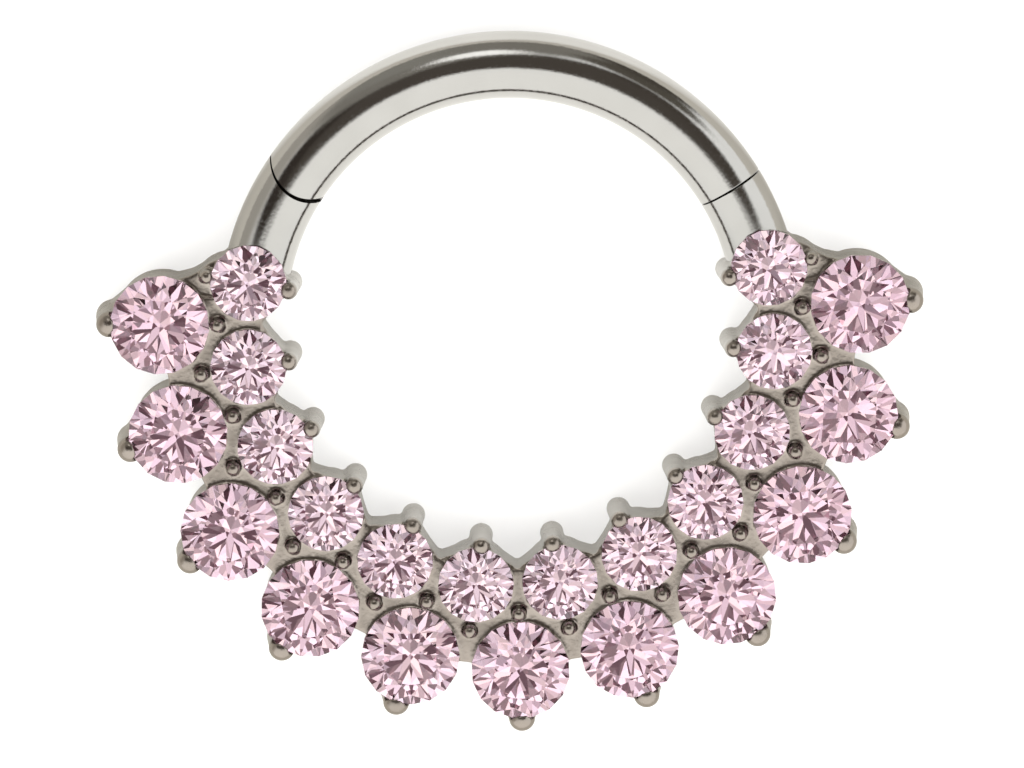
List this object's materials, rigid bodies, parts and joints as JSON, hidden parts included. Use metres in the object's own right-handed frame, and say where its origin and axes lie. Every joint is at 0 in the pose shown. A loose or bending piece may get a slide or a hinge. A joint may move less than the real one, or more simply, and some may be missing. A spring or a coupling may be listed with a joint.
{
  "type": "clicker ring",
  "caption": "Hinged ring for a body piercing: a plain round rod closes the top, and the cast lower half holds an inner and an outer row of round pink stones in claws.",
  "frame": {"origin": "centre of the ring's round opening, on the surface that the ring lies on", "axes": "+Y from the centre to the top of the plain rod, +Z out of the stones, +X to the latch side"},
  "size_m": [0.0148, 0.0126, 0.0016],
  "materials": {
    "setting_metal": "cast steel, tumbled to a soft satin",
    "rod_metal": "drawn steel wire, polished",
    "stones": "cut and polished cubic zirconia, pale pink"
  },
  "bodies": {
    "setting": {"setting": "setting_metal", "hinge_pin": "rod_metal", "stone_inner_01": "stones", "stone_inner_02": "stones", "stone_inner_03": "stones", "stone_inner_04": "stones", "stone_inner_05": "stones", "stone_inner_06": "stones", "stone_inner_07": "stones", "stone_inner_08": "stones", "stone_inner_09": "stones", "stone_inner_10": "stones", "stone_inner_11": "stones", "stone_inner_12": "stones", "stone_outer_01": "stones", "stone_outer_02": "stones", "stone_outer_03": "stones", "stone_outer_04": "stones", "stone_outer_05": "stones", "stone_outer_06": "stones", "stone_outer_07": "stones", "stone_outer_08": "stones", "stone_outer_09": "stones", "stone_outer_10": "stones", "stone_outer_11": "stones"},
    "arc": {"clicker_arc": "rod_metal"}
  },
  "joints": [
    {"name": "hinge", "type": "hinge", "parent": "setting", "child": "arc", "pos_m": [-0.00336, 0.00314, 0.00065], "axis": [0, 0, 1], "range_deg": [0, 90]}
  ]
}
